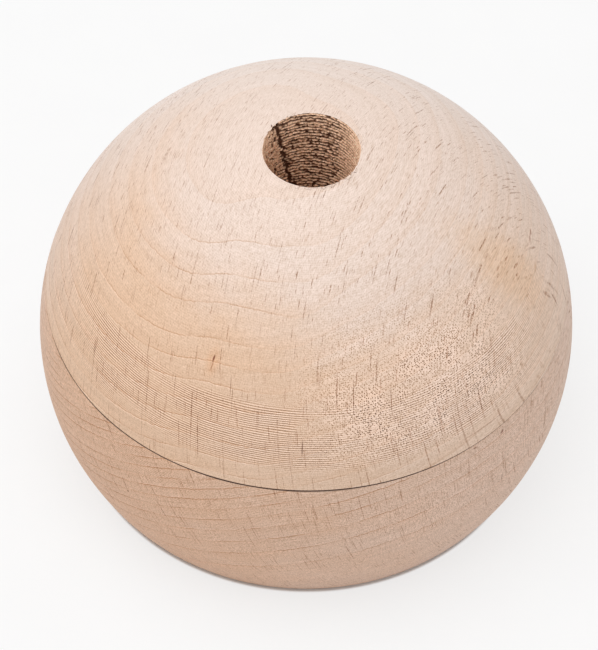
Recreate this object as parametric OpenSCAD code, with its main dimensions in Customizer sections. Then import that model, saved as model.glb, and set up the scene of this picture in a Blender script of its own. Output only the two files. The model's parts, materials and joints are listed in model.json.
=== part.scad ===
// Bolt-on wooden climbing hold: a ball turned from two beech boards glued face to
// face, cut flat at the back, with a deep counterbored hole for the wall bolt.
//
// The back face lies on Z = 0 and the bolt axis is Z, so the hold stands away from
// the wall towards +Z.

/* [Ball] */
// Diameter that the ball is turned to
ball_d = 125; // [115:1:140]
// Round where the flat back meets the ball
back_edge_r = 1.5; // [0.5:0.5:4]

/* [Boards] */
// Thickness of each of the two boards that are glued into the blank
board_t = 48; // [42:1:54]
// Width of the fine open line that the glue joint leaves round the ball
joint_line_w = 0.4; // [0.2:0.1:1]
// Depth of that line below the ball's surface
joint_line_depth = 0.5; // [0.3:0.1:1.5]

/* [Bolt hole] */
// Diameter of the counterbore that takes the bolt's head and washer
head_bore_d = 22; // [18:1:30]
// Diameter of the clearance hole for the bolt's shank
bolt_hole_d = 11; // [7:0.5:14]
// Wood left between the washer's seat and the wall
seat_t = 35; // [25:1:55]

/* [Hidden] */
$fn = 144;

ball_r = ball_d / 2;
joint_z = board_t;
ball_top_z = 2 * board_t;
ball_centre_z = ball_top_z - ball_r;
joint_r = sqrt(ball_r * ball_r - pow(joint_z - ball_centre_z, 2));
// Overshoot that keeps a cutting shape clear of the face it cuts through
cut_clear = 1;

beech_outer = [0.90, 0.79, 0.69];
beech_wall = [0.84, 0.71, 0.60];

// Half of the ball's outline, from the flat back up to its top, with the back's
// edge rounded. The round touches the back at its own foot, and touches the ball
// on the line from the ball's centre through the round's centre.
module ball_outline() {
    edge_x = sqrt(pow(ball_r - back_edge_r, 2) - pow(ball_centre_z - back_edge_r, 2));
    edge_centre = [edge_x, back_edge_r];
    ball_centre = [0, ball_centre_z];
    touch = ball_centre + (edge_centre - ball_centre) * ball_r / (ball_r - back_edge_r);
    outside = touch + (edge_centre - ball_centre);
    difference() {
        intersection() {
            translate(ball_centre) circle(r = ball_r);
            square([ball_r + cut_clear, ball_top_z + cut_clear]);
        }
        polygon([edge_centre, [edge_x, -cut_clear], [outside[0], -cut_clear], outside, touch]);
    }
    translate(edge_centre) circle(r = back_edge_r);
}

// The turned ball with its flat back, before it is bored
module turned_ball() {
    rotate_extrude() ball_outline();
}

// A board's worth of the blank, from one height to another
module board(from_z, to_z) {
    translate([0, 0, from_z]) cylinder(r = ball_r + cut_clear, h = to_z - from_z);
}

// Counterbore for the head and washer, then the shank's clearance hole to the wall
module bolt_hole() {
    translate([0, 0, seat_t]) cylinder(d = head_bore_d, h = ball_top_z - seat_t + cut_clear);
    translate([0, 0, -cut_clear]) cylinder(d = bolt_hole_d, h = seat_t + 2 * cut_clear);
}

// Fine V round the ball where the two boards meet, half of it in each board
module joint_line() {
    slope = joint_line_w / 2 / joint_line_depth;
    reach = joint_line_depth + cut_clear;
    rotate_extrude()
        translate([joint_r - joint_line_depth, joint_z])
            polygon([[0, 0], [reach, -reach * slope], [reach, reach * slope]]);
}

// Outer board: the top of the ball, with the mouth of the counterbore
module outer_block() {
    color(beech_outer)
        difference() {
            intersection() {
                turned_ball();
                board(joint_z, ball_top_z + cut_clear);
            }
            bolt_hole();
            joint_line();
        }
}

// Wall board: the washer's seat, the shank's hole and the flat back
module wall_block() {
    color(beech_wall)
        difference() {
            intersection() {
                turned_ball();
                board(-cut_clear, joint_z);
            }
            bolt_hole();
            joint_line();
        }
}

outer_block();
wall_block();
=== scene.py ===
import json
import math

import bmesh
import bpy
import numpy as np
from mathutils import Matrix, Vector, noise


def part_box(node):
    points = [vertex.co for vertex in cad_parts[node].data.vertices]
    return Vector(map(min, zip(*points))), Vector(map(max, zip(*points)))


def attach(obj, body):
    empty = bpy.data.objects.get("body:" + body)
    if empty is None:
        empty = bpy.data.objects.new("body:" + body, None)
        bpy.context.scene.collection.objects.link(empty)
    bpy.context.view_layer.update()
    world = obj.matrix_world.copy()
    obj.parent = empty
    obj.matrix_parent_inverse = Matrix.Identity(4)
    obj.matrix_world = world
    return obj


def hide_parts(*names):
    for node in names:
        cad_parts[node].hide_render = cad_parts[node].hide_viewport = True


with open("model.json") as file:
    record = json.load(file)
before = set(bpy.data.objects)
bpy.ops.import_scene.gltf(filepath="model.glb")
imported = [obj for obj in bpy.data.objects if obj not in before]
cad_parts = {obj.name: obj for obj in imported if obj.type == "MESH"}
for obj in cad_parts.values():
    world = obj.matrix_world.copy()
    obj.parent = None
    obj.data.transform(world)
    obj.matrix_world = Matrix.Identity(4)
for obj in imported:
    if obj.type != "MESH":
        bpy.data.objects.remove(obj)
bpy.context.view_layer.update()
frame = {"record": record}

# ---------------------------------------------------------------------------
# Outer board: beech, glued face to face to the board behind it and turned with
# it to a ball. It is bored on the bolt axis for the bolt's head. The ball is
# sanded bare, and the bore is left as the bit cut it.
# ---------------------------------------------------------------------------
MM = 0.001  # in metres

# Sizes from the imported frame. The bolt axis is Z, and the flat back is at Z = 0.
mounts = {mount["name"]: mount for mount in frame["record"]["mounts"]}
outer_low, outer_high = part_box("outer_block")
joint_height = outer_low[2]
mouth_height = outer_high[2]
ball_radius = (outer_high[0] - outer_low[0]) / 2
head_bore_radius = mounts["head_bore"]["dims"]["r_mm"] * MM
wall_low, wall_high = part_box("wall_block")
ball_radius = max(ball_radius, (wall_high[0] - wall_low[0]) / 2)
ball_height = mouth_height - math.sqrt(ball_radius ** 2 - head_bore_radius ** 2)
joint_radius = math.sqrt(ball_radius ** 2 - (joint_height - ball_height) ** 2)

# How the board lay in the tree: the turn of its grain from +Y towards +X, and
# where the pith was, across the grain and above the flat back
outer_grain_turn = math.radians(20.1)
outer_pith_across = -62 * MM
outer_pith_height = 379.8 * MM

# How finely the skins are divided; the bore is finest near its mouth
ball_columns = 320
crown_step = 0.8 * MM
fine_step = 0.17 * MM
coarse_step = 0.45 * MM
fine_bore_depth = 27 * MM
joint_steps = 8
crease_angle = math.radians(60)

# The glue line as it was turned, a little out of square with the bore
joint_line_half_width = 0.26 * MM
joint_line_depth = 0.5 * MM
joint_out_of_square = 0.80 * MM
joint_high_side = math.radians(30)
joint_widest_side = math.radians(235)

# The bore as the bit left it: the eased rim, the rings, the chips and the long tear
rim_ease = 0.22 * MM
groove_pitch = 0.98 * MM
chip_reach = 1.2 * MM
chip_depth = 0.5 * MM
tear_depth = 0.45 * MM


def ease(low, high, value):
    """0 below low, 1 above high, and a smooth rise between them."""
    share = min(1.0, max(0.0, (value - low) / (high - low)))
    return share * share * (3 - 2 * share)


def arc(centre, radius, from_angle, to_angle, steps, kind):
    """Rows of (radius, height, kind) on a circle; the angles are from straight up."""
    return [(centre[0] + radius * math.sin(a), centre[1] + radius * math.cos(a), kind)
            for a in np.linspace(from_angle, to_angle, steps)]


def run(start, end, steps, kind):
    """Rows on a straight line from start up to, but not at, end."""
    return [(start[0] + (end[0] - start[0]) * k / steps,
             start[1] + (end[1] - start[1]) * k / steps, kind) for k in range(steps)]


def ring_skin(name, rows, columns, shape):
    """A closed skin round the bolt axis, through rows that make a closed loop. shape
    moves each point of a row to where the wood's surface really is."""
    turns = [2 * math.pi * k / columns for k in range(columns)]
    points = []
    for radius, height, kind in rows:
        for turn in turns:
            r, z = shape(radius, height, kind, turn)
            points.append((r * math.cos(turn), r * math.sin(turn), z))
    faces = []
    drilled = []
    for i, row in enumerate(rows):
        after = (i + 1) % len(rows)
        for k in range(columns):
            beside = (k + 1) % columns
            faces.append((i * columns + k, after * columns + k,
                          after * columns + beside, i * columns + beside))
            drilled.append(1 if row[2] == "drilled" else 0)
    mesh = bpy.data.meshes.new(name)
    mesh.from_pydata(points, [], faces)
    mesh.polygons.foreach_set("material_index", drilled)
    outward = bmesh.new()
    outward.from_mesh(mesh)
    if outward.calc_volume(signed=True) < 0:
        bmesh.ops.reverse_faces(outward, faces=outward.faces)
    outward.to_mesh(mesh)
    outward.free()
    mesh.shade_smooth()
    mesh.set_sharp_from_angle(angle=crease_angle)
    piece = bpy.data.objects.new(name, mesh)
    bpy.context.scene.collection.objects.link(piece)
    return piece


def joint_opening(turn):
    """How far the glue line stands open at this turn, from 0 to 1."""
    usual = 0.62
    swing = 0.4
    uneven = 0.25
    least = 0.25
    ripple = noise.noise(Vector((3 * math.cos(turn), 3 * math.sin(turn), 5)))
    opening = usual + swing * math.cos(turn - joint_widest_side) + uneven * ripple
    return min(1.0, max(least, opening))


def joint_lift(turn):
    """How far the glue line stands above square with the bore, at the ball's face."""
    return joint_out_of_square * math.cos(turn - joint_high_side)


def turned_face(radius, height, turn):
    """A point of the ball, where the hand sanding has left it a little low."""
    tilt_reach = 9 * MM
    hollow_size = 13 * MM
    usual_depth = 0.03 * MM
    hollow_depth = 0.04 * MM
    ripple_depth = 0.012 * MM
    away = abs(height - joint_height)
    height += joint_lift(turn) * (1 - ease(0, tilt_reach, away))
    radius = math.sqrt(ball_radius ** 2 - (height - ball_height) ** 2)
    arm = Vector((radius * math.cos(turn), radius * math.sin(turn), height - ball_height))
    spot = arm / hollow_size
    low = usual_depth + hollow_depth * noise.noise(spot) + ripple_depth * noise.noise(spot * 4)
    scale = 1 - max(0.0, low) / ball_radius
    return radius * scale, ball_height + (height - ball_height) * scale


def drilled_wall(radius, height, turn, grain_turn):
    """The radius of the drilled wall. The bit leaves rings where it crosses the
    fibres, tears them out in the two quarters where it lifts them, and leaves the
    wall smooth along the grain. Depths and lengths in here are in mm."""
    ring_depth = 0.48
    torn_ring_depth = 0.14
    crumb_length = 1.05
    crumb_depth = 0.04
    gap_depth = 0.28
    pit_depth = 0.65
    pulled_depth = 1.3
    wave_depth = 0.035
    deepest = 0.95
    proudest = 0.02
    from_grain = turn + grain_turn - math.pi / 2
    across = abs(math.cos(from_grain))

    # The angle to the grain, in degrees from -60 to 120, says where the fibres tear
    lean = math.degrees((from_grain + math.pi / 3) % math.pi) - 60
    torn = ease(-30, -8, lean) * ease(104, 74, lean)
    spot = Vector((math.cos(turn) * radius, math.sin(turn) * radius, height)) / MM
    around = turn * radius / MM

    # The bit's rings, swaying a little where the wall is torn
    sway = 0.06 * noise.noise(spot * 0.3) + 0.4 * torn * noise.noise(spot * 0.9)
    turns_up = height / groove_pitch + sway
    gap = abs(2 * (turns_up % 1) - 1)
    row = math.floor(turns_up)
    uneven = 1 + 0.9 * torn * noise.noise(Vector((around / 1.4, row, 5)))
    depth = (ring_depth + torn_ring_depth * torn) * uneven * ease(0.2, 0.7, across) * gap ** 1.25

    # The crumbs along each ring, the gaps between them, and the pits of lost fibres
    along = around / crumb_length + 5 * noise.cell(Vector((0, row, 9))) + 0.5 * noise.noise(spot * 1.7)
    crumb = noise.cell(Vector((along, row, 3)))
    broken = ease(0.30, 0.0, abs(along % 1 - 0.2)) * (crumb > 0.5)
    rough = noise.noise(spot * 1.3) + 0.5 * noise.noise(spot * 3.1)
    depth += torn * (crumb_depth * crumb + gap_depth * broken + pit_depth * max(0.0, rough - 0.15))
    depth += torn * ease(60, 72, lean) * pulled_depth * max(0.0, rough + 0.05)
    depth += wave_depth * noise.noise(spot * 2.2) * (0.4 + across)
    return radius + min(deepest, max(-proudest, depth)) * MM


def tear_line(height, turn):
    """The long torn line down the left of the bore, from 0 to 1."""
    length = 22 * MM
    starts_at = 137
    drifts_by = 22
    wander = 0.08
    drop = (mouth_height - height) / length
    centre = math.radians(starts_at - drifts_by * drop)
    centre += wander * noise.noise(Vector((0, 0, height / MM * 0.7)))
    return (1 - ease(0.01, 0.06, abs(turn - centre))) * ease(1.25, 1.0, drop)


joint_angle = math.acos((joint_height - ball_height) / ball_radius)
mouth_angle = math.asin((head_bore_radius + rim_ease) / ball_radius)
groove_floor = (joint_radius - joint_line_depth, joint_height)
crown_steps = int(ball_radius * (joint_angle - mouth_angle) / crown_step)
rim_top = ball_height + ball_radius * math.cos(mouth_angle)
bore_top = rim_top - 0.8 * rim_ease
fine_end = mouth_height - fine_bore_depth

# The section of the outer board, from the bore along the joint, up the ball and
# down the bore again
outer_rows = run((head_bore_radius, joint_height), groove_floor, joint_steps, "joint")
outer_rows += run(groove_floor, (joint_radius, joint_height), 2, "groove")
outer_rows += arc((0, ball_height), ball_radius, joint_angle, mouth_angle, crown_steps, "ball")
outer_rows += [(head_bore_radius + 0.3 * rim_ease, rim_top - 0.25 * rim_ease, "drilled")]
outer_rows += run((head_bore_radius, bore_top), (head_bore_radius, fine_end),
                  int((bore_top - fine_end) / fine_step), "drilled")
outer_rows += run((head_bore_radius, fine_end), (head_bore_radius, joint_height),
                  int((fine_end - joint_height) / coarse_step), "drilled")


def outer_shape(radius, height, kind, turn):
    """Where a point of the outer board's section lies at this turn."""
    if kind == "ball":
        lift = joint_line_half_width * joint_opening(turn) - (height - joint_height)
        near_mouth = 1 - ease(0, chip_reach, radius - head_bore_radius)
        radius, height = turned_face(radius, height, turn)
        from_grain = turn + outer_grain_turn - math.pi / 2
        torn = max(0.0, math.sin(2 * from_grain))
        spot = Vector((math.cos(turn), math.sin(turn), 0.3)) * 17
        chip = near_mouth * torn * max(0.0, noise.noise(spot) + 0.15) * chip_depth
        return radius, height + max(0.0, lift) - chip
    if kind == "drilled":
        fade = ease(joint_height + MM, joint_height + 2 * MM, height)
        wall = drilled_wall(head_bore_radius, height, turn, outer_grain_turn)
        line = tear_depth * tear_line(height, turn)
        height += joint_lift(turn) * radius / joint_radius * (1 - fade)
        return radius + (wall - head_bore_radius) * fade + line, height
    return radius, height + joint_lift(turn) * radius / joint_radius


outer_board = ring_skin("outer_board", outer_rows, ball_columns, outer_shape)

# Beech, as one block of solid wood: its rings and rays run on through the board,
# so every cut face shows them as it lies to the grain. Lengths here are in mm.


def add(tree, kind, feeds=(), **settings):
    """A shader node with its settings, fed by the given sockets and values."""
    made = tree.nodes.new("ShaderNode" + kind)
    for name, value in settings.items():
        setattr(made, name, value)
    for key, value in dict(feeds).items():
        if isinstance(value, bpy.types.NodeSocket):
            tree.links.new(value, made.inputs[key])
        else:
            made.inputs[key].default_value = value
    return made


def calc(tree, operation, *values):
    """One step of arithmetic on sockets and values."""
    return add(tree, "Math", dict(enumerate(values)), operation=operation).outputs[0]


def fade_in(tree, value, low, high, start=0.0, end=1.0):
    """start below low, end above high, and a smooth change between them."""
    feeds = {0: value, 1: low, 2: high, 3: start, 4: end}
    return add(tree, "MapRange", feeds, interpolation_type="SMOOTHSTEP").outputs[0]


def blend(tree, share, under, over, how="MIX"):
    """Two colours mixed, by a share from 0 to 1."""
    feeds = {0: share, 6: under, 7: over}
    return add(tree, "Mix", feeds, data_type="RGBA", blend_type=how).outputs[2]


def stretched(tree, vector, x, y, z):
    """The position measured in cells of x by y by z mm."""
    size = (1 / x, 1 / y, 1 / z)
    return add(tree, "VectorMath", {0: vector, 1: size}, operation="MULTIPLY").outputs[0]


def grain_noise(tree, vector, x, y, z, detail=2.0):
    """Noise from about 0 to 1 in cells of x by y by z mm."""
    feeds = {"Vector": stretched(tree, vector, x, y, z), "Scale": 1.0, "Detail": detail}
    return add(tree, "TexNoise", feeds).outputs[0]


def new_group(name, inputs, outputs):
    """An empty node group with named sockets, and its input and output nodes."""
    group = bpy.data.node_groups.new(name, "ShaderNodeTree")
    for label, kind in inputs:
        group.interface.new_socket(label, in_out="INPUT", socket_type="NodeSocket" + kind)
    for label, kind in outputs:
        group.interface.new_socket(label, in_out="OUTPUT", socket_type="NodeSocket" + kind)
    given = group.nodes.new("NodeGroupInput").outputs
    result = group.nodes.new("NodeGroupOutput").inputs
    return group, given, result


def use(tree, group, feeds):
    """The outputs of a node group placed in this material."""
    placed = tree.nodes.new("ShaderNodeGroup")
    placed.node_tree = group
    for key, value in feeds.items():
        if isinstance(value, bpy.types.NodeSocket):
            tree.links.new(value, placed.inputs[key])
        else:
            placed.inputs[key].default_value = value
    return placed.outputs


# Where a point lies in the tree: round the pith, along the grain and out from the pith
place_in_tree, given, result = new_group(
    "place in the tree",
    [("Grain turn", "Float"), ("Pith across", "Float"), ("Pith height", "Float"),
     ("Middle radius", "Float"), ("Wander", "Float")],
    [("In the tree", "Vector"), ("Across", "Float"), ("Out from pith", "Float"),
     ("Ring slant", "Float"), ("Around bolt", "Float"), ("Off axis", "Float"),
     ("Height", "Float"), ("On the object", "Vector")])
tree = place_in_tree
bend_size = (26, 90, 26)
least_slant = 0.015
here = add(tree, "VectorMath", {0: add(tree, "TexCoord").outputs["Object"], "Scale": 1 / MM},
           operation="SCALE").outputs[0]
turned = add(tree, "VectorRotate", {"Vector": here, "Angle": given["Grain turn"]},
             rotation_type="Z_AXIS").outputs[0]
bend = add(tree, "TexNoise", {"Vector": stretched(tree, turned, *bend_size), "Scale": 1.0,
                              "Detail": 1.5}).outputs["Color"]
bend = add(tree, "VectorMath", {0: bend, 1: (0.5, 0.5, 0.5)}, operation="SUBTRACT").outputs[0]
bend = add(tree, "VectorMath", {0: bend, "Scale": given["Wander"]}, operation="SCALE").outputs[0]
bent = add(tree, "VectorMath", {0: turned, 1: bend}, operation="ADD").outputs[0]
split = add(tree, "SeparateXYZ", {0: bent}).outputs
across = calc(tree, "SUBTRACT", split[0], given["Pith across"])
above = calc(tree, "SUBTRACT", split[2], given["Pith height"])
square = calc(tree, "ADD", calc(tree, "MULTIPLY", across, across),
              calc(tree, "MULTIPLY", above, above))
out_from_pith = calc(tree, "SQRT", square)
side = calc(tree, "SIGN", given["Pith height"])
round_pith = calc(tree, "MULTIPLY", calc(tree, "ARCTAN2", calc(tree, "MULTIPLY", across, side),
                                         calc(tree, "ABSOLUTE", above)), given["Middle radius"])
place = add(tree, "CombineXYZ", {0: round_pith, 1: split[1], 2: out_from_pith}).outputs[0]
facing = add(tree, "VectorRotate", {"Vector": add(tree, "NewGeometry").outputs["Normal"],
                                    "Angle": given["Grain turn"]}, rotation_type="Z_AXIS")
facing = add(tree, "SeparateXYZ", {0: facing.outputs[0]}).outputs
squarely = calc(tree, "DIVIDE", calc(tree, "ADD", calc(tree, "MULTIPLY", facing[0], across),
                                     calc(tree, "MULTIPLY", facing[2], above)), out_from_pith)
slant = calc(tree, "SQRT", calc(tree, "MAXIMUM", least_slant,
                                calc(tree, "SUBTRACT", 1.0, calc(tree, "MULTIPLY", squarely, squarely))))
plain = add(tree, "SeparateXYZ", {0: here}).outputs
grain_way = add(tree, "SeparateXYZ", {0: turned}).outputs
off_axis = calc(tree, "SQRT", calc(tree, "ADD", calc(tree, "MULTIPLY", plain[0], plain[0]),
                                   calc(tree, "MULTIPLY", plain[1], plain[1])))
tree.links.new(place, result["In the tree"])
tree.links.new(grain_way[0], result["Across"])
tree.links.new(out_from_pith, result["Out from pith"])
tree.links.new(slant, result["Ring slant"])
tree.links.new(calc(tree, "ARCTAN2", calc(tree, "MULTIPLY", grain_way[0], -1.0), grain_way[1]),
               result["Around bolt"])
tree.links.new(off_axis, result["Off axis"])
tree.links.new(plain[2], result["Height"])
tree.links.new(here, result["On the object"])

# Growth rings: a thin dark line where each year's growth ends, and the pale start
# of the next. The stem is fluted, so a ring dips at one place and rises at the next.
growth_rings, given, result = new_group(
    "growth rings",
    [("In the tree", "Vector"), ("Across", "Float"), ("Out from pith", "Float"),
     ("Ring slant", "Float"), ("First ring", "Float"), ("Ring width", "Float"),
     ("Narrowing", "Float"), ("Flute depth", "Float"), ("Wide ring", "Float")],
    [("Dark line", "Float"), ("Pale line", "Float"), ("Late wood", "Float"),
     ("Fine bands", "Float")])
tree = growth_rings


def hump(tree, value, middle, width):
    """1 at the middle, falling away smoothly on both sides."""
    off = calc(tree, "DIVIDE", calc(tree, "SUBTRACT", value, middle), width)
    return calc(tree, "EXPONENT", calc(tree, "MULTIPLY", calc(tree, "MULTIPLY", off, off), -1.0))


flute_dips_at = 13.0
flute_rises_at = -6.0
flute_width = 7.0
dip = hump(tree, given["Across"], flute_dips_at, flute_width)
rise = hump(tree, given["Across"], flute_rises_at, flute_width)
flute = calc(tree, "SUBTRACT", calc(tree, "MULTIPLY", dip, 1.4), rise)
flute = calc(tree, "MULTIPLY", calc(tree, "ADD", flute, 0.4), given["Flute depth"])
grown = calc(tree, "SUBTRACT", calc(tree, "SUBTRACT", given["Out from pith"], flute),
             given["First ring"])
grown = calc(tree, "MAXIMUM", calc(tree, "DIVIDE", grown, given["Ring width"]), 0.02)
count = calc(tree, "POWER", grown, given["Narrowing"])
per_mm = calc(tree, "DIVIDE", calc(tree, "MULTIPLY", given["Narrowing"], count),
              calc(tree, "MULTIPLY", grown, given["Ring width"]))

# One good year made a wide ring, and the count runs on from there
wide_half = 2.5
wide_share = 0.42
good_year = fade_in(tree, given["Out from pith"],
                    calc(tree, "SUBTRACT", given["Wide ring"], wide_half),
                    calc(tree, "ADD", given["Wide ring"], wide_half), 0.0, wide_share)
count = calc(tree, "SUBTRACT", count, good_year)
uneven = calc(tree, "SUBTRACT", grain_noise(tree, given["In the tree"], 9, 30, 400, 1.0), 0.5)
jitter = calc(tree, "SUBTRACT", grain_noise(tree, given["In the tree"], 1.3, 3.5, 60, 1.0), 0.5)
jitter = calc(tree, "MULTIPLY", jitter, calc(tree, "MULTIPLY", given["Ring slant"], 0.16))
count = calc(tree, "ADD", count, calc(tree, "MULTIPLY_ADD", uneven, 0.12, jitter))
least_count = 0.45
count = calc(tree, "MAXIMUM", count, least_count)
part = calc(tree, "FRACT", count)

# The lines keep their width on the wood's face, however flat the ring is cut
seen_per_mm = calc(tree, "MULTIPLY", per_mm, given["Ring slant"])
dark_core = 0.10
dark_edge = 0.36
pale_core = 0.08
pale_edge = 0.42
before = calc(tree, "DIVIDE", calc(tree, "SUBTRACT", 1.0, part), seen_per_mm)
after = calc(tree, "DIVIDE", part, seen_per_mm)
strong = fade_in(tree, grain_noise(tree, given["In the tree"], 9, 18, 3.0, 2.0), 0.36, 0.60)
dark = fade_in(tree, before, dark_core, dark_edge, 1.0, 0.0)
tree.links.new(calc(tree, "MULTIPLY", dark, strong), result["Dark line"])
pale = fade_in(tree, after, pale_core, pale_edge, 1.0, 0.0)
tree.links.new(calc(tree, "MULTIPLY", pale, strong), result["Pale line"])
tree.links.new(calc(tree, "POWER", part, 2.0), result["Late wood"])
bands = grain_noise(tree, given["In the tree"], 25, 60, 0.5, 2.0)
tree.links.new(calc(tree, "SUBTRACT", bands, 0.5), result["Fine bands"])

# Rays: thin ribbons on edge, seen as short dashes on a flat face and as long
# upright lines on the end grain
ray_flecks, given, result = new_group(
    "ray flecks",
    [("In the tree", "Vector"), ("Thickness", "Float"), ("Length", "Float"),
     ("Breadth", "Float"), ("Share", "Float"), ("Seed", "Float")],
    [("Fleck", "Float")])
tree = ray_flecks
reach = 0.25
cell = add(tree, "CombineXYZ", {0: given["Thickness"], 1: given["Length"],
                                2: given["Breadth"]}).outputs[0]
cell = add(tree, "VectorMath", {0: cell, "Scale": 0.5 / reach}, operation="SCALE").outputs[0]
cells = add(tree, "VectorMath", {0: given["In the tree"], 1: cell}, operation="DIVIDE").outputs[0]
seed = add(tree, "CombineXYZ", {0: given["Seed"], 1: given["Seed"], 2: given["Seed"]}).outputs[0]
cells = add(tree, "VectorMath", {0: cells, 1: seed}, operation="ADD").outputs[0]
nearest = add(tree, "TexVoronoi", {"Vector": cells, "Scale": 1.0}, feature="F1",
              voronoi_dimensions="3D")
dice = add(tree, "SeparateColor", {0: nearest.outputs["Color"]}).outputs
here_at_all = calc(tree, "LESS_THAN", dice[0], given["Share"])
size = calc(tree, "MULTIPLY_ADD", dice[1], 0.7 * reach, 0.55 * reach)
away = calc(tree, "DIVIDE", nearest.outputs["Distance"], size)
frayed = calc(tree, "SUBTRACT", grain_noise(tree, given["In the tree"], 0.5, 0.5, 0.5, 1.0), 0.5)
away = calc(tree, "ADD", away, calc(tree, "MULTIPLY", frayed, 0.9))
shape = fade_in(tree, away, 0.55, 1.0, 1.0, 0.0)
weight = calc(tree, "MULTIPLY_ADD", dice[2], 0.65, 0.35)
beads = fade_in(tree, grain_noise(tree, given["In the tree"], 0.9, 0.9, 0.55, 1.0), 0.38, 0.56,
                0.45, 1.0)
weight = calc(tree, "MULTIPLY", weight, beads)
tree.links.new(calc(tree, "MULTIPLY", calc(tree, "MULTIPLY", shape, here_at_all), weight),
               result["Fleck"])

# Turning lines: the fine threads that the gouge leaves round the ball
turning_lines, given, result = new_group(
    "turning lines",
    [("On the object", "Vector"), ("Off axis", "Float"), ("Height", "Float"),
     ("Ball height", "Float"), ("Pitch", "Float"), ("Band low", "Float"), ("Band high", "Float")],
    [("Ridge", "Float"), ("Band", "Float")])
tree = turning_lines
up = calc(tree, "SUBTRACT", given["Height"], given["Ball height"])
down_arc = calc(tree, "MULTIPLY", calc(tree, "ARCTAN2", given["Off axis"], up), ball_radius / MM)
drift = grain_noise(tree, given["On the object"], 14, 14, 3, 1.0)
turns_adrift = 1.6
turns = calc(tree, "ADD", calc(tree, "DIVIDE", down_arc, given["Pitch"]),
             calc(tree, "MULTIPLY", drift, turns_adrift))
ridge = calc(tree, "SINE", calc(tree, "MULTIPLY", turns, 2 * math.pi))
patchy = fade_in(tree, grain_noise(tree, given["On the object"], 13, 13, 4, 2.0), 0.28, 0.54)
low_edge = fade_in(tree, given["Height"], calc(tree, "SUBTRACT", given["Band low"], 3.0),
                   given["Band low"])
high_edge = fade_in(tree, given["Height"], given["Band high"],
                    calc(tree, "ADD", given["Band high"], 2.0), 1.0, 0.0)
sideways = add(tree, "SeparateXYZ", {0: given["On the object"]}).outputs[0]
worn_from = 45.0
worn_to = 53.0
worn = fade_in(tree, calc(tree, "ABSOLUTE", sideways), worn_from, worn_to, 1.0, 0.25)
band = calc(tree, "MULTIPLY", calc(tree, "MULTIPLY", low_edge, high_edge),
            calc(tree, "MULTIPLY", patchy, worn))
tree.links.new(ridge, result["Ridge"])
tree.links.new(band, result["Band"])

# Torn grain: the crumbled speckle on the end grain, in the two quarters of the
# turn where the gouge lifts the fibres
torn_grain, given, result = new_group(
    "torn grain",
    [("On the object", "Vector"), ("In the tree", "Vector"), ("Around bolt", "Float"),
     ("Height", "Float"), ("From height", "Float"), ("To height", "Float")],
    [("Torn", "Float"), ("Pits", "Float")])
tree = torn_grain
hole_size = (0.38, 0.50, 0.38)
lifted_late = -0.2
low_fade = (7.0, 5.0)
high_fade = (14.0, 6.0)
lifted = calc(tree, "SINE", calc(tree, "MULTIPLY_ADD", given["Around bolt"], 2.0, lifted_late))
lifted = fade_in(tree, lifted, 0.25, 1.0)
low_edge = fade_in(tree, given["Height"], calc(tree, "SUBTRACT", given["From height"], low_fade[0]),
                   calc(tree, "ADD", given["From height"], low_fade[1]))
high_edge = fade_in(tree, given["Height"], calc(tree, "SUBTRACT", given["To height"], high_fade[0]),
                    calc(tree, "ADD", given["To height"], high_fade[1]), 1.0, 0.0)
cloud = fade_in(tree, grain_noise(tree, given["On the object"], 7, 7, 7, 4.0), 0.34, 0.62,
                0.45, 1.0)
torn = calc(tree, "MULTIPLY", calc(tree, "MULTIPLY", low_edge, high_edge),
            calc(tree, "MULTIPLY", lifted, cloud))
holes = add(tree, "TexVoronoi", {"Vector": stretched(tree, given["In the tree"], *hole_size),
                                 "Scale": 1.0, "Randomness": 0.62}, feature="F1")
tree.links.new(torn, result["Torn"])
tree.links.new(fade_in(tree, holes.outputs["Distance"], 0.20, 0.50, -0.85, 0.30), result["Pits"])

# A small mark or stain at one place on the ball, long on its own axis
small_mark, given, result = new_group(
    "small mark",
    [("On the object", "Vector"), ("Middle", "Vector"), ("Lean", "Float"),
     ("Half length", "Float"), ("Half width", "Float")],
    [("Mark", "Float")])
tree = small_mark
from_it = add(tree, "VectorMath", {0: given["On the object"], 1: given["Middle"]},
              operation="SUBTRACT").outputs[0]
frayed = add(tree, "TexNoise", {"Vector": given["On the object"], "Scale": 1.7}).outputs[0]
far = add(tree, "SeparateXYZ", {0: from_it}).outputs
middle = add(tree, "SeparateXYZ", {0: given["Middle"]}).outputs
facing = calc(tree, "ARCTAN2", middle[1], middle[0])
sideways = calc(tree, "SUBTRACT", calc(tree, "MULTIPLY", far[1], calc(tree, "COSINE", facing)),
                calc(tree, "MULTIPLY", far[0], calc(tree, "SINE", facing)))
lean_sin = calc(tree, "SINE", given["Lean"])
lean_cos = calc(tree, "COSINE", given["Lean"])
along_it = calc(tree, "ADD", calc(tree, "MULTIPLY", far[2], lean_cos),
                calc(tree, "MULTIPLY", sideways, lean_sin))
over_it = calc(tree, "SUBTRACT", calc(tree, "MULTIPLY", sideways, lean_cos),
               calc(tree, "MULTIPLY", far[2], lean_sin))
along_it = calc(tree, "DIVIDE", along_it, given["Half length"])
over_it = calc(tree, "DIVIDE", over_it, given["Half width"])
spread = calc(tree, "SQRT", calc(tree, "ADD", calc(tree, "MULTIPLY", along_it, along_it),
                                 calc(tree, "MULTIPLY", over_it, over_it)))
spread = calc(tree, "ADD", spread, calc(tree, "MULTIPLY", frayed, 0.5))
distance = add(tree, "VectorMath", {0: from_it}, operation="LENGTH").outputs[1]
near_it = calc(tree, "LESS_THAN", distance, calc(tree, "MULTIPLY", given["Half length"], 3.0))
tree.links.new(calc(tree, "MULTIPLY", fade_in(tree, spread, 0.5, 1.3, 1.0, 0.0), near_it),
               result["Mark"])


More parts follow.
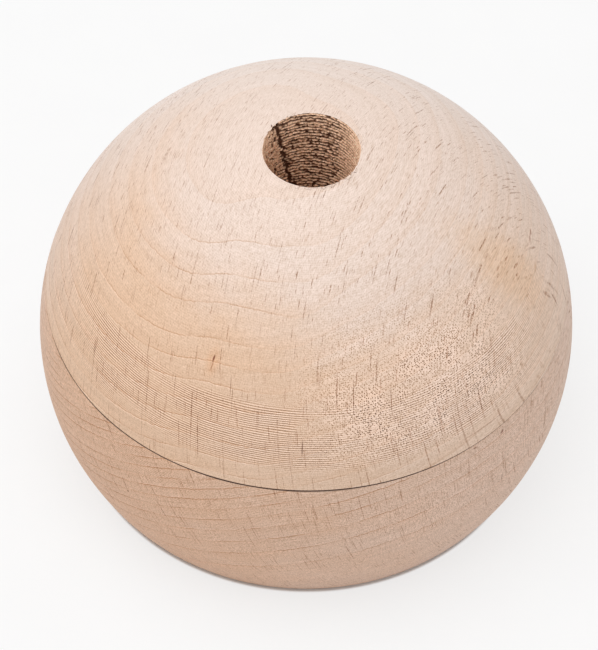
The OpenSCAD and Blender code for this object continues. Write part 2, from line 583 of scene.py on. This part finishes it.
def wood_material(name, board):
    """A material with the wood's place, rings and rays worked out for one board."""
    material = bpy.data.materials.new(name)
    material.use_nodes = True
    tree = material.node_tree
    place = use(tree, place_in_tree, {
        "Grain turn": board["grain turn"], "Pith across": board["pith across"] / MM,
        "Pith height": board["pith height"] / MM, "Middle radius": board["middle radius"] / MM,
        "Wander": board["wander"]})
    rings = use(tree, growth_rings, {
        "In the tree": place["In the tree"], "Across": place["Across"],
        "Out from pith": place["Out from pith"], "Ring slant": place["Ring slant"],
        "First ring": board["first ring"], "Ring width": board["ring width"],
        "Narrowing": board["narrowing"], "Flute depth": board["flute depth"],
        "Wide ring": board["wide ring"]})
    rays = []
    for thick, long, broad, share in board["rays"]:
        rays.append(use(tree, ray_flecks, {
            "In the tree": place["In the tree"], "Thickness": thick, "Length": long,
            "Breadth": broad, "Share": share, "Seed": board["seed"] + 10 * thick})["Fleck"])
    pores = grain_noise(tree, place["In the tree"], 0.24, 1.6, 0.35, 2.0)
    return material, tree, place, rings, rays, calc(tree, "SUBTRACT", pores, 0.5)


def shaded(tree, colour, tone):
    """The colour made lighter or darker. Dark wood is also browner, and light wood
    is also greyer."""
    tone = calc(tree, "MINIMUM", calc(tree, "MAXIMUM", tone, 0.05), 1.4)
    dark = calc(tree, "MINIMUM", tone, 1.0)
    light = calc(tree, "MAXIMUM", tone, 1.0)
    green = calc(tree, "MULTIPLY", calc(tree, "POWER", dark, 1.35), calc(tree, "POWER", light, 1.07))
    blue = calc(tree, "MULTIPLY", calc(tree, "POWER", dark, 1.75), calc(tree, "POWER", light, 1.3))
    tint = add(tree, "CombineColor", {0: tone, 1: green, 2: blue}).outputs[0]
    return blend(tree, 1.0, colour, tint, "MULTIPLY")


# What the faces of both boards share: sizes and fine relief in mm, and the colour of the painted shade
# in the glue line's groove
thread_pitch = 0.53
cloud_sway = 70.0
cap_fade = 16.0
rings_fade = 16.0
pale_lines_fade = 14.0
# Painted shade: the dark colour of the glue line's shadowed groove
groove_shade_colour = (0.07, 0.03, 0.015, 1)
ring_relief = -0.012
wide_ray_relief = 0.05
small_ray_relief = 0.03
pore_relief = 0.045
thread_relief = 0.09
worn_thread_relief = 0.008
pit_relief = 0.035


def ball_finish(name, board):
    """The sanded face of the ball."""
    material, tree, place, rings, rays, pores = wood_material(name, board)
    on_it = place["On the object"]
    height = place["Height"]
    lines = use(tree, turning_lines, {
        "On the object": on_it, "Off axis": place["Off axis"], "Height": height,
        "Ball height": ball_height / MM, "Pitch": thread_pitch, "Band low": board["lines from"],
        "Band high": board["lines to"]})
    torn = use(tree, torn_grain, {
        "On the object": on_it, "In the tree": place["In the tree"],
        "Around bolt": place["Around bolt"], "Height": height,
        "From height": board["torn from"], "To height": board["torn to"]})

    # Broad colour: warmer to one side. The pale cap round the bore is partly the crown's paler wood and
    # partly a painted highlight where the light falls on the top. The back, seen only at a grazing
    # angle, is made paler as a painted sheen.
    where = add(tree, "SeparateXYZ", {0: on_it}).outputs
    clouds = calc(tree, "SUBTRACT", grain_noise(tree, on_it, 17, 17, 9, 3.0), 0.5)
    sideways = calc(tree, "ADD", where[0], calc(tree, "MULTIPLY", clouds, cloud_sway))
    colour = blend(tree, fade_in(tree, sideways, -38.0, 42.0), board["warm"], board["mid"])
    edge = calc(tree, "SUBTRACT", grain_noise(tree, on_it, 8, 8, 4, 2.0), 0.5)
    capped = calc(tree, "ADD", height, calc(tree, "MULTIPLY", edge, 7.0))
    capped = calc(tree, "ADD", capped, fade_in(tree, where[0], -15.0, 15.0, -1.0, 3.0))
    # Painted highlight, with the crown's paler wood: the pale cap on top
    cap_with_highlight = fade_in(tree, capped, board["cap from"], board["cap from"] + cap_fade)
    # Painted sheen: the back of each board is made paler, as a grazing reflection shows it
    sheen_behind = fade_in(tree, calc(tree, "ADD", where[1], calc(tree, "MULTIPLY", clouds, 25.0)),
                     -30.0, 30.0)
    pale = blend(tree, fade_in(tree, where[1], 5.0, 50.0), board["pale"], board["sheen_palest"])
    colour = blend(tree, calc(tree, "MAXIMUM", cap_with_highlight, sheen_behind), colour, pale)
    for middle, lean, half_length, half_width, share, stain in board["marks"]:
        mark = use(tree, small_mark, {"On the object": on_it, "Middle": middle,
                                      "Lean": math.radians(lean), "Half length": half_length,
                                      "Half width": half_width})["Mark"]
        colour = blend(tree, calc(tree, "MULTIPLY", mark, share), colour, stain, "MULTIPLY")

    # The figure of the wood
    colour = blend(tree, calc(tree, "MULTIPLY", rings["Late wood"], 0.5), colour,
                   board["late wood"], "MULTIPLY")
    faint = calc(tree, "MULTIPLY", fade_in(tree, where[1], -27.0, -9.0, 0.0, 0.92),
                 fade_in(tree, height, 60.0, 74.0))
    clear = fade_in(tree, where[0], board["rings clear to"], board["rings clear to"] + rings_fade,
                    1.0, 0.1)
    clear = calc(tree, "MAXIMUM", clear, fade_in(tree, height, 54.0, 62.0, 0.7, 0.0))
    sharp = calc(tree, "MULTIPLY", clear, calc(tree, "SUBTRACT", 1.0, faint))
    colour = blend(tree, calc(tree, "MULTIPLY", rings["Dark line"], sharp), colour,
                   board["ring line"], "MULTIPLY")
    low_down = fade_in(tree, height, board["pale lines below"],
                       board["pale lines below"] + pale_lines_fade, 1.0, 0.15)
    low_down = calc(tree, "MULTIPLY", low_down, sharp)
    colour = blend(tree, calc(tree, "MULTIPLY", rings["Pale line"], low_down), colour,
                   board["pale line"], "MULTIPLY")
    for fleck, stain in zip(rays, board["ray colours"]):
        colour = blend(tree, fleck, colour, stain, "MULTIPLY")

    # Fine light and dark: density bands, pores, turning lines and torn grain. The light and dark of the
    # turning threads is painted light and shade on their ridges.
    bands = calc(tree, "MULTIPLY", rings["Fine bands"], place["Ring slant"])
    tone = calc(tree, "MULTIPLY_ADD", bands, board["band depth"], 1.0)
    open_pores = fade_in(tree, where[1], -35.0, 35.0, board["pore depth"],
                         0.5 * board["pore depth"])
    tone = calc(tree, "ADD", tone, calc(tree, "MULTIPLY", pores, open_pores))
    banded = calc(tree, "MULTIPLY", lines["Band"], fade_in(tree, torn["Torn"], 0.0, 1.0, 1.0, 0.5))
    # Painted light and shade: the threads' ridges are made pale and their sides dark in the colour
    thread_light_and_shade = calc(tree, "MULTIPLY", lines["Ridge"],
                  calc(tree, "MULTIPLY_ADD", banded, board["line depth"],
                       0.07 * board["line depth"]))
    tone = calc(tree, "ADD", tone, thread_light_and_shade)
    # The torn grain's dark pits and bright crumbs: partly the torn fibres' own colour, partly painted
    # shade in the pits and painted highlight on the crumbs
    torn_here = calc(tree, "MULTIPLY", torn["Torn"], fade_in(tree, where[1], 0.0, 30.0, 1.0, 0.5))
    tone = calc(tree, "ADD", tone, calc(tree, "MULTIPLY", torn["Pits"],
                                        calc(tree, "MULTIPLY_ADD", torn_here,
                                             board["torn depth"], 0.05)))
    colour = shaded(tree, colour, tone)

    # The glue line lies below the turned face, and its groove is darkened with painted shade where it
    # lies in shadow
    reach = calc(tree, "SUBTRACT", height, ball_height / MM)
    from_centre = calc(tree, "SQRT", calc(tree, "ADD", calc(tree, "MULTIPLY", reach, reach),
                                          calc(tree, "POWER", place["Off axis"], 2.0)))
    below_face = calc(tree, "SUBTRACT", ball_radius / MM, from_centre)
    from_joint = calc(tree, "ABSOLUTE", calc(tree, "SUBTRACT", height, joint_height / MM))
    at_joint = fade_in(tree, from_joint, 1.2, 1.4, 1.0, 0.0)
    groove_shade = calc(tree, "MULTIPLY", fade_in(tree, below_face, 0.07, 0.14), at_joint)
    colour = blend(tree, groove_shade, colour, groove_shade_colour)

    # Fine relief, in mm: ring lines, rays, pores, threads and torn grain
    heights = calc(tree, "MULTIPLY", rings["Dark line"], ring_relief)
    grooves = calc(tree, "MULTIPLY_ADD", rays[1], small_ray_relief,
                   calc(tree, "MULTIPLY", rays[0], wide_ray_relief))
    heights = calc(tree, "SUBTRACT", heights, grooves)
    heights = calc(tree, "ADD", heights, calc(tree, "MULTIPLY", pores, pore_relief))
    threads = calc(tree, "MULTIPLY", lines["Ridge"],
                   calc(tree, "MULTIPLY_ADD", banded, thread_relief * board["line depth"],
                        worn_thread_relief * board["line depth"]))
    heights = calc(tree, "ADD", heights, threads)
    pits = calc(tree, "MULTIPLY", torn["Pits"],
                calc(tree, "MULTIPLY", torn_here, pit_relief * board["torn depth"]))
    heights = calc(tree, "ADD", heights, pits)
    bump = add(tree, "Bump", {"Height": heights, "Strength": 1.0, "Distance": MM})
    shader = tree.nodes["Principled BSDF"]
    tree.links.new(colour, shader.inputs["Base Color"])
    tree.links.new(bump.outputs[0], shader.inputs["Normal"])
    tree.links.new(calc(tree, "MULTIPLY_ADD", rings["Fine bands"], 0.2, 0.62),
                   shader.inputs["Roughness"])
    return material


def bore_finish(name, board):
    """The raw drilled wall: browner, partly from its own torn end grain and partly as painted shade of
    the deep bore, with painted shade in the hollows and a painted highlight on the crests.
    """
    crest_to = 0.10
    hollow_from = 0.50
    crumb_tone = 1.9
    material, tree, place, _, rays, pores = wood_material(name, board)
    sunk = calc(tree, "SUBTRACT", place["Off axis"], head_bore_radius / MM)
    # Painted shade in the hollows and painted highlight on the crests, by how deep the wall is cut
    hollow = fade_in(tree, sunk, crest_to, hollow_from)
    crumb = grain_noise(tree, place["On the object"], 0.46, 0.46, 0.34, 1.0)
    crumb = calc(tree, "SUBTRACT", crumb, 0.5)
    colour = blend(tree, hollow, board["bore highlight crest"], board["bore shaded hollow"])
    colour = blend(tree, calc(tree, "MULTIPLY", rays[1], 0.5), colour, board["ray colours"][1],
                   "MULTIPLY")
    tone = calc(tree, "MULTIPLY_ADD", pores, 0.5, 1.0)
    tone = calc(tree, "ADD", tone, calc(tree, "MULTIPLY_ADD", crumb, crumb_tone, 0.04))
    colour = shaded(tree, colour, tone)
    heights = calc(tree, "ADD", calc(tree, "MULTIPLY", pores, 0.05),
                   calc(tree, "MULTIPLY", crumb, 0.15))
    bump = add(tree, "Bump", {"Height": heights, "Strength": 1.0, "Distance": MM})
    shader = tree.nodes["Principled BSDF"]
    tree.links.new(colour, shader.inputs["Base Color"])
    tree.links.new(bump.outputs[0], shader.inputs["Normal"])
    shader.inputs["Roughness"].default_value = 0.8
    return material


# The outer board's wood. Places and sizes are in mm, and colours are linear.
outer_beech = {
    "grain turn": outer_grain_turn, "pith across": outer_pith_across,
    "pith height": outer_pith_height, "middle radius": 318 * MM, "wander": 0.5,
    "first ring": 2.13, "ring width": 3.87, "narrowing": 1.0, "flute depth": 1.0,
    "wide ring": 306.5, "rings clear to": -16.0, "seed": 2.0,
    "rays": [(0.25, 6.0, 30.0, 0.42), (0.21, 2.4, 11.0, 0.9), (0.14, 1.5, 5.0, 1.0)],
    "pore depth": 0.62, "torn depth": 0.98, "band depth": 0.30, "line depth": 0.45,
    "ray colours": [(0.44, 0.29, 0.20, 1), (0.52, 0.37, 0.28, 1), (0.72, 0.61, 0.52, 1)],
    # pale is the cap's colour, partly the crown's paler wood and partly painted highlight; the palest
    # colour is the back's, a painted sheen
    "sheen_palest": (0.83, 0.725, 0.665, 1), "pale": (0.81, 0.655, 0.565, 1),
    "mid": (0.80, 0.595, 0.46, 1), "warm": (0.785, 0.54, 0.375, 1),
    "cap from": 74.0, "late wood": (0.97, 0.91, 0.85, 1), "pale lines below": 66.0,
    "ring line": (0.80, 0.69, 0.59, 1), "pale line": (1.16, 1.20, 1.26, 1),
    "lines from": 55, "lines to": 66, "torn from": 56, "torn to": 81,
    # The bore's crest colour is a painted highlight and its hollow colour is painted shade
    "bore highlight crest": (1.0, 0.68, 0.46, 1), "bore shaded hollow": (0.11, 0.04, 0.016, 1),
    "marks": [
        # middle, lean, half length, half width, share, colour
        ((-20.4, -43.8, 73.1), 4, 0.95, 0.30, 1.0, (0.30, 0.15, 0.09, 1)),
        ((-20.8, -44.9, 71.7), 4, 1.3, 0.14, 0.9, (0.52, 0.32, 0.22, 1)),
        ((-20.6, -44.4, 72.4), 0, 3.6, 2.2, 0.35, (0.98, 0.76, 0.55, 1)),
        ((0.0, -57.3, 58.5), 0, 2.6, 0.2, 1.0, (0.30, 0.2, 0.15, 1)),
        ((50.9, -0.7, 69.8), 90, 1.4, 0.3, 0.9, (0.50, 0.33, 0.27, 1)),
        ((50.7, -2.8, 69.9), 84, 1.5, 0.28, 0.9, (0.52, 0.34, 0.28, 1)),
        ((52.2, -8.9, 66.8), 80, 2.0, 0.5, 0.5, (0.80, 0.66, 0.52, 1)),
        ((47.0, -15.0, 73.0), -20, 18.0, 9.0, 0.8, (0.99, 0.91, 0.80, 1)),
        ((41.0, -43.7, 51.2), 90, 10.5, 0.16, 0.8, (0.55, 0.42, 0.34, 1)),
    ],
}
outer_board.data.materials.append(ball_finish("outer_beech", outer_beech))
outer_board.data.materials.append(bore_finish("outer_bore", outer_beech))
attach(outer_board, "root")
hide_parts("outer_block")

# ---------------------------------------------------------------------------
# Wall board: the beech board next to the wall, turned with the outer one. The
# ball runs down to the flat sawn back, and the bore ends in a flat seat for the
# washer, with the bolt's own hole through the rest.
# ---------------------------------------------------------------------------
bolt_hole_radius = mounts["bolt_hole"]["dims"]["r_mm"] * MM
seat_height = mounts["bolt_hole"]["dims"]["length_mm"] * MM
wall_grain_turn = math.radians(11)
wall_pith_across = 67.1 * MM
wall_pith_height = -134.8 * MM
back_edge_round = 1.5 * MM
back_step = 2.5 * MM
hole_step = 0.7 * MM
sanded_from = 8 * MM

# The section of the wall board, from the joint down the ball, along the back and up
# the bolt's hole and the bore
edge_middle = math.sqrt((ball_radius - back_edge_round) ** 2 - (ball_height - back_edge_round) ** 2)
edge_angle = math.pi - math.atan2(edge_middle, ball_height - back_edge_round)
side_steps = int(ball_radius * (edge_angle - joint_angle) / crown_step)
wall_rows = arc((0, ball_height), ball_radius, joint_angle, edge_angle, side_steps, "ball")
wall_rows += arc((edge_middle, back_edge_round), back_edge_round, edge_angle, math.pi, 8, "back")[1:-1]
wall_rows += run((edge_middle, 0), (bolt_hole_radius, 0), int(edge_middle / back_step), "back")
wall_rows += run((bolt_hole_radius, 0), (bolt_hole_radius, seat_height),
                 int(seat_height / hole_step), "drilled")
wall_rows += run((bolt_hole_radius, seat_height), (head_bore_radius, seat_height), 10, "drilled")
wall_rows += run((head_bore_radius, seat_height), (head_bore_radius, joint_height),
                 int((joint_height - seat_height) / coarse_step), "drilled")
wall_rows += run((head_bore_radius, joint_height), groove_floor, joint_steps, "joint")
wall_rows += run(groove_floor, (joint_radius, joint_height), 2, "groove")


def wall_shape(radius, height, kind, turn):
    """Where a point of the wall board's section lies at this turn."""
    tilt = joint_lift(turn) * radius / joint_radius
    if kind == "ball":
        drop = joint_line_half_width * joint_opening(turn) - (joint_height - height)
        low_radius, low_height = turned_face(radius, height, turn)
        share = ease(back_edge_round, sanded_from, height)
        radius += (low_radius - radius) * share
        height += (low_height - height) * share
        return radius, height - max(0.0, drop)
    if kind in ("joint", "groove"):
        return radius, height + tilt
    if kind == "drilled" and radius > 0.999 * head_bore_radius:
        near_joint = ease(joint_height - 2 * MM, joint_height - MM, height)
        fade = (1 - near_joint) * ease(seat_height, seat_height + 0.5 * MM, height)
        wall = drilled_wall(radius, height, turn, wall_grain_turn)
        return radius + (wall - radius) * fade, height + tilt * near_joint
    return radius, height


wall_board = ring_skin("wall_board", wall_rows, ball_columns, wall_shape)

# The wall board's wood. It has no pale cap with its painted highlight and no wide ring, so both lie
# outside it. Its back is still made paler as a painted sheen, and its bore keeps the painted shade in
# the hollows and the painted highlight on the crests.
wall_beech = {
    "grain turn": wall_grain_turn, "pith across": wall_pith_across,
    "pith height": wall_pith_height, "middle radius": 184 * MM, "wander": 0.5,
    "first ring": 150, "ring width": 15.65, "narrowing": 2.0, "flute depth": 0.0,
    "wide ring": 500.0, "rings clear to": 28.0, "seed": 11.0,
    "rays": [(0.24, 3.0, 10.0, 0.45), (0.18, 2.0, 7.0, 1.0), (0.14, 1.4, 4.0, 1.0)],
    "pore depth": 1.05, "torn depth": 0.3, "band depth": 0.3, "line depth": 0.12,
    "ray colours": [(0.52, 0.37, 0.26, 1), (0.58, 0.44, 0.33, 1), (0.70, 0.58, 0.48, 1)],
    # pale and palest: the back made paler, a painted sheen
    "sheen_palest": (0.78, 0.63, 0.55, 1), "pale": (0.76, 0.60, 0.51, 1),
    "mid": (0.74, 0.53, 0.41, 1), "warm": (0.73, 0.475, 0.325, 1),
    "cap from": 130, "late wood": (0.96, 0.90, 0.84, 1), "pale lines below": 66.0,
    "ring line": (0.70, 0.53, 0.38, 1), "pale line": (1.08, 1.10, 1.13, 1),
    "lines from": 24, "lines to": 46, "torn from": 28, "torn to": 48,
    # The bore's crest colour is a painted highlight and its hollow colour is painted shade
    "bore highlight crest": (0.80, 0.52, 0.36, 1), "bore shaded hollow": (0.15, 0.055, 0.022, 1),
    "marks": [
        ((39.3, -46.6, 47.2), 90, 0.9, 0.25, 0.9, (0.40, 0.26, 0.2, 1)),
        ((45.4, -40.8, 46.4), 60, 0.9, 0.45, 0.9, (0.36, 0.22, 0.16, 1)),
        ((46.2, -42.0, 31.2), 0, 1.2, 0.22, 0.9, (0.40, 0.26, 0.18, 1)),
        ((-40.5, -47.5, 31.5), -23, 2.6, 0.15, 1.0, (0.42, 0.25, 0.16, 1)),
        ((-39.7, -48.0, 29.1), 0, 0.35, 0.3, 1.0, (0.35, 0.2, 0.13, 1)),
        ((-44.0, -42.0, 19.6), -31, 3.6, 0.18, 1.0, (0.50, 0.26, 0.14, 1)),
    ],
}
wall_board.data.materials.append(ball_finish("wall_beech", wall_beech))
wall_board.data.materials.append(bore_finish("wall_bore", wall_beech))
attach(wall_board, "root")
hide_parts("wall_block")

# ---------------------------------------------------------------------------
# Floor and surroundings: a plain pale floor that runs on into white. The camera
# sees both as white, and the floor keeps the ball's soft shadow.
# ---------------------------------------------------------------------------
floor_half = 3.0
floor_pale = 0.85
floor_white_share = 0.72
grit_scale = 60.0
grit_depth = 0.01
room_light = 0.62
shadow_rim = edge_middle + 1.2 * MM
white_from = edge_middle + 2.0 * MM

floor_mesh = bpy.data.meshes.new("floor")
floor_mesh.from_pydata([(-floor_half, -floor_half, 0), (floor_half, -floor_half, 0),
                        (floor_half, floor_half, 0), (-floor_half, floor_half, 0)],
                       [], [(0, 1, 2, 3)])
floor = bpy.data.objects.new("floor", floor_mesh)
bpy.context.scene.collection.objects.link(floor)


def seen_share(tree, share):
    """share for what the camera, a glossy or a clear surface sees, and 0 for light."""
    path = add(tree, "LightPath").outputs
    seen = calc(tree, "MAXIMUM", path["Is Camera Ray"], path["Is Glossy Ray"])
    seen = calc(tree, "MAXIMUM", seen, path["Is Transmission Ray"])
    return calc(tree, "MULTIPLY", seen, share)


floor_paint = bpy.data.materials.new("floor_paint")
floor_paint.use_nodes = True
tree = floor_paint.node_tree
paint = tree.nodes["Principled BSDF"]
on_floor = add(tree, "TexCoord").outputs["Object"]
from_ball = add(tree, "VectorMath", {0: on_floor}, operation="LENGTH").outputs[1]
open_floor = fade_in(tree, from_ball, shadow_rim, white_from)
grit = add(tree, "TexNoise", {"Vector": on_floor, "Scale": grit_scale})
grit_tone = fade_in(tree, grit.outputs[0], 0.3, 0.7, floor_pale - grit_depth,
                    floor_pale + grit_depth)
tree.links.new(add(tree, "CombineColor", {0: grit_tone, 1: grit_tone, 2: grit_tone}).outputs[0],
               paint.inputs["Base Color"])
paint.inputs["Roughness"].default_value = 0.9
paint.inputs["Specular IOR Level"].default_value = 0.1
white = add(tree, "Emission", {"Strength": 1.0})
whitened = calc(tree, "MULTIPLY", open_floor, floor_white_share)
floor_look = add(tree, "MixShader", {0: seen_share(tree, whitened),
                                     1: paint.outputs[0], 2: white.outputs[0]})
tree.links.new(floor_look.outputs[0], tree.nodes["Material Output"].inputs["Surface"])
floor_mesh.materials.append(floor_paint)

room = bpy.data.worlds.new("room")
bpy.context.scene.world = room
room.use_nodes = True
tree = room.node_tree
lit = tree.nodes["Background"]
lit.inputs["Color"].default_value = (1, 1, 1, 1)
lit.inputs["Strength"].default_value = room_light
white = add(tree, "Background", {"Color": (1, 1, 1, 1), "Strength": 1.0})
room_look = add(tree, "MixShader", {0: seen_share(tree, 1.0), 1: lit.outputs[0],
                                    2: white.outputs[0]})
tree.links.new(room_look.outputs[0], tree.nodes["World Output"].inputs["Surface"])

# ---------------------------------------------------------------------------
# Lamp: one large round studio lamp with a soft cloth front. It hangs above the ball
# and a little to the left, and is turned to the middle of it.
# ---------------------------------------------------------------------------
lamp_across = 1.1
lamp_power = 6.7
lamp_place = Vector((-0.22, -0.06, 1.14))
lamp_aim = Vector((0, 0, 0.04))

lamp_data = bpy.data.lights.new("studio_lamp", "AREA")
lamp_data.shape = "DISK"
lamp_data.size = lamp_across
lamp_data.energy = lamp_power
lamp = bpy.data.objects.new("studio_lamp", lamp_data)
lamp.location = lamp_place
lamp.rotation_euler = (lamp_aim - lamp_place).to_track_quat("-Z", "Y").to_euler()
bpy.context.scene.collection.objects.link(lamp)

# ---------------------------------------------------------------------------
# Camera: a long lens on a stand in front of the ball. It looks down at about fifty
# degrees, so that the mouth of the bore and the glue line both show.
# ---------------------------------------------------------------------------
camera_elevation = math.radians(50.3)
camera_roll = math.radians(1.8)
camera_distance = 20 * ball_radius
camera_lens = 294.6
ball_centre = Vector((0, 0, ball_height))
picture_height = 650
centre_right_of_ball = -7.1
centre_above_ball = -1.5

camera_data = bpy.data.cameras.new("camera")
camera_data.lens = camera_lens
camera_data.clip_end = 20
camera_data.shift_x = centre_right_of_ball / picture_height
camera_data.shift_y = centre_above_ball / picture_height
camera = bpy.data.objects.new("camera", camera_data)
towards_camera = Vector((0, -math.cos(camera_elevation), math.sin(camera_elevation)))
camera_place = ball_centre + camera_distance * towards_camera
aim = (-towards_camera).to_track_quat("-Z", "Y").to_matrix().to_4x4()
camera.matrix_world = (Matrix.Translation(camera_place) @ aim
                       @ Matrix.Rotation(camera_roll, 4, "Z"))
bpy.context.scene.collection.objects.link(camera)
bpy.context.scene.camera = camera

bpy.context.scene.view_settings.view_transform = "Standard"
